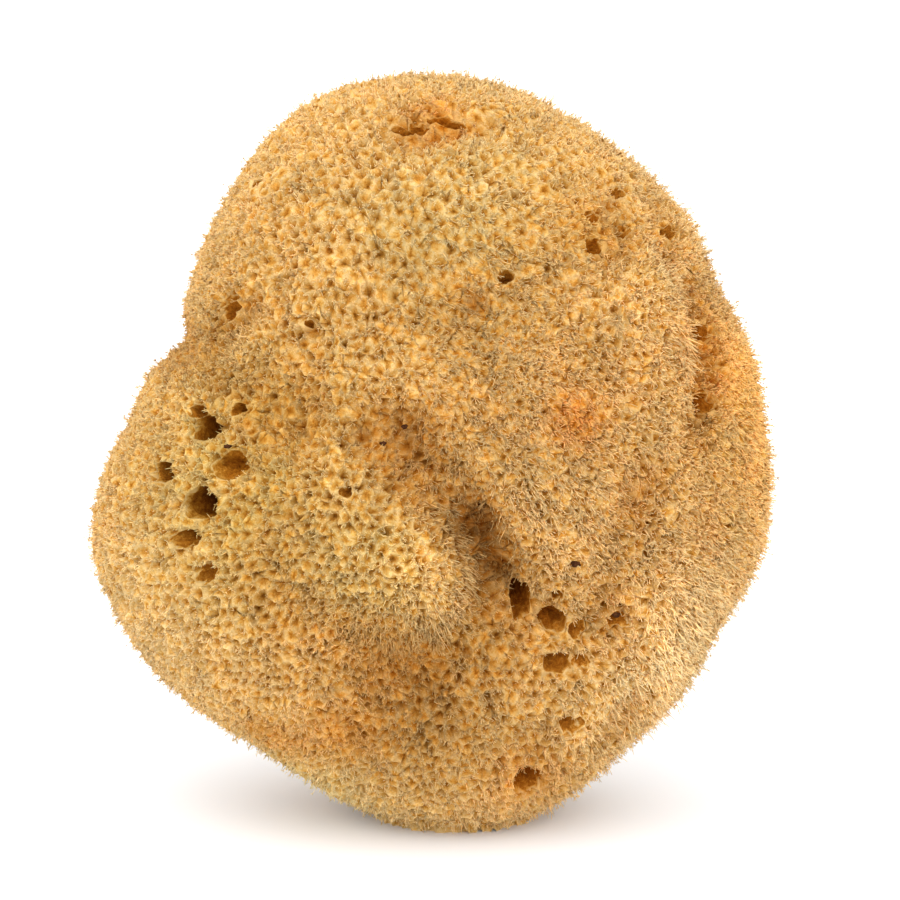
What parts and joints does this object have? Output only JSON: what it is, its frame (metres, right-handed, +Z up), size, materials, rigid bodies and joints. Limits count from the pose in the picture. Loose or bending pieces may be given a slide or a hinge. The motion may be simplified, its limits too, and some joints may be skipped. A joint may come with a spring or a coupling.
{
  "type": "sea sponge",
  "caption": "Natural honeycomb bath sponge, an uneven rounded mass with large water holes, cut off flat where it grew on rock and standing on the cut.",
  "frame": {"origin": "centre of the flat cut that the sponge stands on", "axes": "+Z up out of the cut through the mass, -Y towards the side that the picture shows, +X to the right of that view"},
  "size_m": [0.1366, 0.1061, 0.1495],
  "materials": {
    "sponge": "dry spongin fibre, honey yellow, matt, with pale frayed tips and amber pits"
  },
  "bodies": {
    "root": {"sponge": "sponge"}
  },
  "joints": []
}
